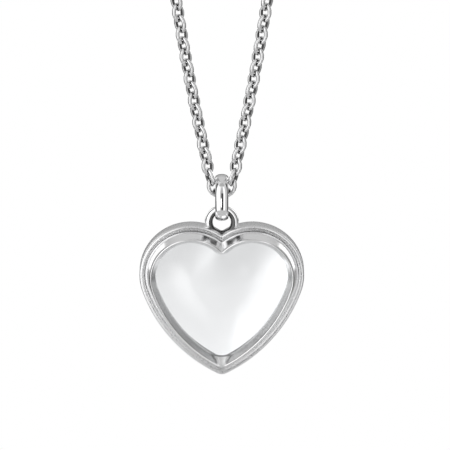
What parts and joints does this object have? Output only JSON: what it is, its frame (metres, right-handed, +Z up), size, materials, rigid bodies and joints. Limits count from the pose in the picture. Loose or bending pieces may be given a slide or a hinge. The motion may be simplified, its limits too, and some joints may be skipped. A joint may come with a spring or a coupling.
{
  "type": "heart locket necklace",
  "caption": "Silver heart locket with domed glass front and hinged glass back, hanging from a bail on a fine cable chain that closes with a ring clasp.",
  "frame": {"origin": "the top of the chain's loop, at the middle of the clasp, where it lies on the nape of the neck", "axes": "+Z up along the hanging necklace, -Y is the locket's front, +X is to the right as seen from the front"},
  "size_m": [0.0554, 0.0059, 0.2148],
  "materials": {
    "case_silver": "satin silver",
    "bezel_silver": "polished silver",
    "front_pane": "clear polished glass",
    "door_silver": "polished silver",
    "back_pane": "clear polished glass",
    "pin_silver": "polished silver",
    "bail_silver": "polished silver",
    "chain_silver": "polished silver",
    "clasp_silver": "polished silver",
    "ring_silver": "polished silver"
  },
  "bodies": {
    "necklace": {"chain": "chain_silver", "chain_back": "chain_silver", "clasp": "clasp_silver", "end_ring": "ring_silver"},
    "bail": {"bail": "bail_silver"},
    "locket": {"case": "case_silver", "front_bezel": "bezel_silver", "front_glass": "front_pane", "hinge_pin": "pin_silver"},
    "door": {"back_door": "door_silver", "back_glass": "back_pane"}
  },
  "joints": [
    {"name": "bail_swing", "type": "hinge", "parent": "necklace", "child": "bail", "pos_m": [0, 0.00025, -0.1844], "axis": [1, 0, 0], "range_deg": [-30, 30]},
    {"name": "locket_swing", "type": "hinge", "parent": "bail", "child": "locket", "pos_m": [0, 0.00025, -0.1888], "axis": [0, 1, 0], "range_deg": [-45, 45]},
    {"name": "door_hinge", "type": "hinge", "parent": "locket", "child": "door", "pos_m": [-0.01158, 0.00198, -0.19669], "axis": [0, 0, 1], "range_deg": [0, 120]}
  ]
}
